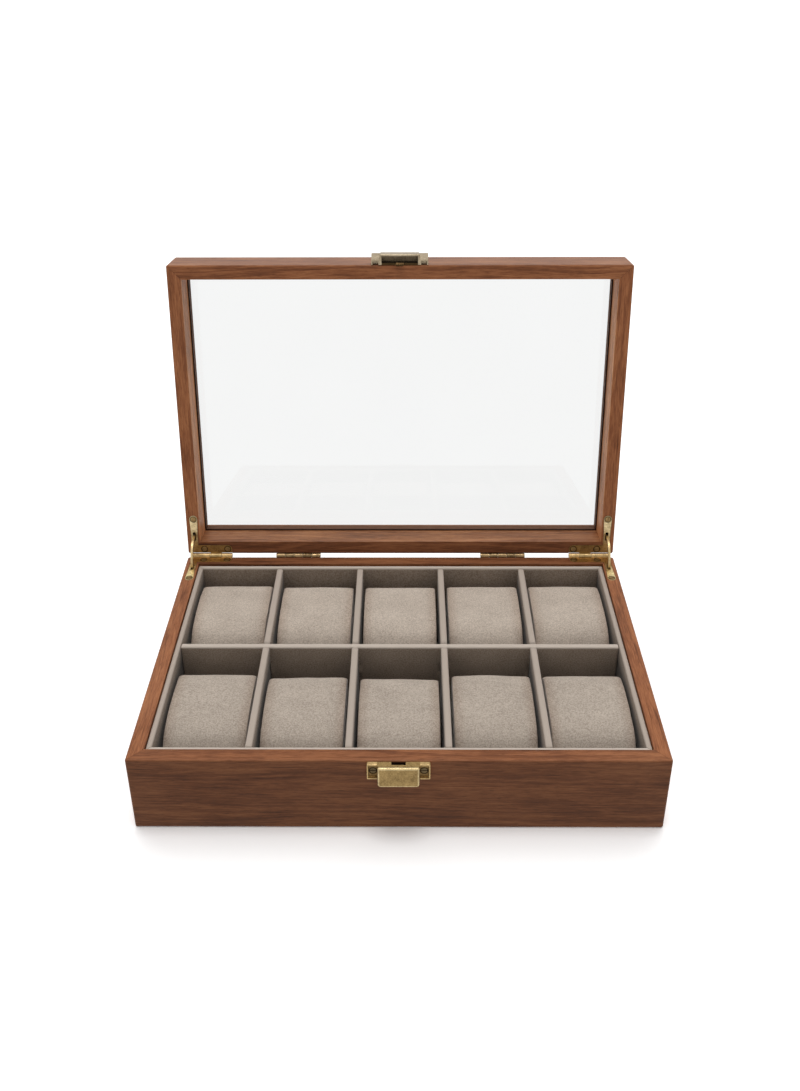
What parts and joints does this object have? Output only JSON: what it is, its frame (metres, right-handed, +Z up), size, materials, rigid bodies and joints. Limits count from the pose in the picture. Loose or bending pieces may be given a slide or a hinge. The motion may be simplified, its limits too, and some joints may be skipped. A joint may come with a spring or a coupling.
{
  "type": "watch and jewelry organizer",
  "caption": "Low wooden case with a glazed lid on hinges and a front latch, lined in suede and divided into compartments, each with a lift-out pillow for a watch or bracelet.",
  "frame": {"origin": "centre of the underside, where the case rests", "axes": "+Z up, -Y towards the front face with the latch, +X to the right as seen from the front"},
  "size_m": [0.33, 0.2959, 0.2858],
  "materials": {
    "walnut": "satin, medium brown walnut, open grain along each piece",
    "suede": "matte taupe suede over board",
    "pillow_suede": "matte taupe suede over a soft pillow",
    "antique_brass": "antique brass, brushed, darker in the corners",
    "steel": "plain",
    "clear_glass": "clear, polished",
    "dark_strip": "dark matte strip"
  },
  "bodies": {
    "case": {"butt_hinge_left_case_leaf": "antique_brass", "butt_hinge_left_pin": "antique_brass", "butt_hinge_right_case_leaf": "antique_brass", "butt_hinge_right_pin": "antique_brass", "case_bottom_panel": "walnut", "case_front_wall": "walnut", "case_left_wall": "walnut", "case_rear_wall": "walnut", "case_right_wall": "walnut", "cross_divider_1": "suede", "cross_divider_2": "suede", "cross_divider_3": "suede", "cross_divider_4": "suede", "latch_housing": "antique_brass", "latch_pin": "steel", "latch_screw_left": "antique_brass", "latch_screw_right": "antique_brass", "latch_spring": "steel", "lining_floor": "suede", "lining_front": "suede", "lining_left": "suede", "lining_rear": "suede", "lining_right": "suede", "long_divider": "suede", "quadrant_hinge_left_case_leaf": "antique_brass", "quadrant_hinge_left_pin": "antique_brass", "quadrant_hinge_right_case_leaf": "antique_brass", "quadrant_hinge_right_pin": "antique_brass"},
    "lid": {"butt_hinge_left_lid_leaf": "antique_brass", "butt_hinge_right_lid_leaf": "antique_brass", "glazing_strip_front": "dark_strip", "glazing_strip_left": "dark_strip", "glazing_strip_rear": "dark_strip", "glazing_strip_right": "dark_strip", "latch_keeper": "antique_brass", "lid_front_rail": "walnut", "lid_glass": "clear_glass", "lid_left_rail": "walnut", "lid_rear_rail": "walnut", "lid_right_rail": "walnut", "quadrant_hinge_left_lid_leaf": "antique_brass", "quadrant_hinge_right_lid_leaf": "antique_brass"},
    "latch_button": {"latch_button": "antique_brass"},
    "stay_left": {"quadrant_stay_left": "antique_brass"},
    "stay_right": {"quadrant_stay_right": "antique_brass"},
    "pillow_front_1": {"watch_pillow_front_1": "pillow_suede"},
    "pillow_front_2": {"watch_pillow_front_2": "pillow_suede"},
    "pillow_front_3": {"watch_pillow_front_3": "pillow_suede"},
    "pillow_front_4": {"watch_pillow_front_4": "pillow_suede"},
    "pillow_front_5": {"watch_pillow_front_5": "pillow_suede"},
    "pillow_rear_1": {"watch_pillow_rear_1": "pillow_suede"},
    "pillow_rear_2": {"watch_pillow_rear_2": "pillow_suede"},
    "pillow_rear_3": {"watch_pillow_rear_3": "pillow_suede"},
    "pillow_rear_4": {"watch_pillow_rear_4": "pillow_suede"},
    "pillow_rear_5": {"watch_pillow_rear_5": "pillow_suede"}
  },
  "joints": [
    {"name": "lid_hinge", "type": "hinge", "parent": "case", "child": "lid", "pos_m": [0, 0.11335, 0.0556], "axis": [1, 0, 0], "range_deg": [0, 97.9]},
    {"name": "stay_left_pivot", "type": "hinge", "parent": "case", "child": "stay_left", "pos_m": [0, 0.11335, 0.0556], "axis": [1, 0, 0], "range_deg": [0, 48.95]},
    {"name": "stay_right_pivot", "type": "hinge", "parent": "case", "child": "stay_right", "pos_m": [0, 0.11335, 0.0556], "axis": [1, 0, 0], "range_deg": [0, 48.95]},
    {"name": "latch_button_pivot", "type": "hinge", "parent": "case", "child": "latch_button", "pos_m": [0, -0.11435, 0.0474], "axis": [1, 0, 0], "range_deg": [0, 8], "stiffness_Nm_per_rad": 0.05, "springref_deg": -2.86, "deforming": ["latch_spring"]},
    {"name": "pillow_front_1_lift", "type": "slide", "parent": "case", "child": "pillow_front_1", "axis": [0, 0, -1], "range_m": [-0.06, 0]},
    {"name": "pillow_front_2_lift", "type": "slide", "parent": "case", "child": "pillow_front_2", "axis": [0, 0, -1], "range_m": [-0.06, 0]},
    {"name": "pillow_front_3_lift", "type": "slide", "parent": "case", "child": "pillow_front_3", "axis": [0, 0, -1], "range_m": [-0.06, 0]},
    {"name": "pillow_front_4_lift", "type": "slide", "parent": "case", "child": "pillow_front_4", "axis": [0, 0, -1], "range_m": [-0.06, 0]},
    {"name": "pillow_front_5_lift", "type": "slide", "parent": "case", "child": "pillow_front_5", "axis": [0, 0, -1], "range_m": [-0.06, 0]},
    {"name": "pillow_rear_1_lift", "type": "slide", "parent": "case", "child": "pillow_rear_1", "axis": [0, 0, -1], "range_m": [-0.06, 0]},
    {"name": "pillow_rear_2_lift", "type": "slide", "parent": "case", "child": "pillow_rear_2", "axis": [0, 0, -1], "range_m": [-0.06, 0]},
    {"name": "pillow_rear_3_lift", "type": "slide", "parent": "case", "child": "pillow_rear_3", "axis": [0, 0, -1], "range_m": [-0.06, 0]},
    {"name": "pillow_rear_4_lift", "type": "slide", "parent": "case", "child": "pillow_rear_4", "axis": [0, 0, -1], "range_m": [-0.06, 0]},
    {"name": "pillow_rear_5_lift", "type": "slide", "parent": "case", "child": "pillow_rear_5", "axis": [0, 0, -1], "range_m": [-0.06, 0]}
  ],
  "couplings": [
    {"joint": "stay_left_pivot", "follows": "lid_hinge", "ratio": 0.5},
    {"joint": "stay_right_pivot", "follows": "lid_hinge", "ratio": 0.5}
  ]
}
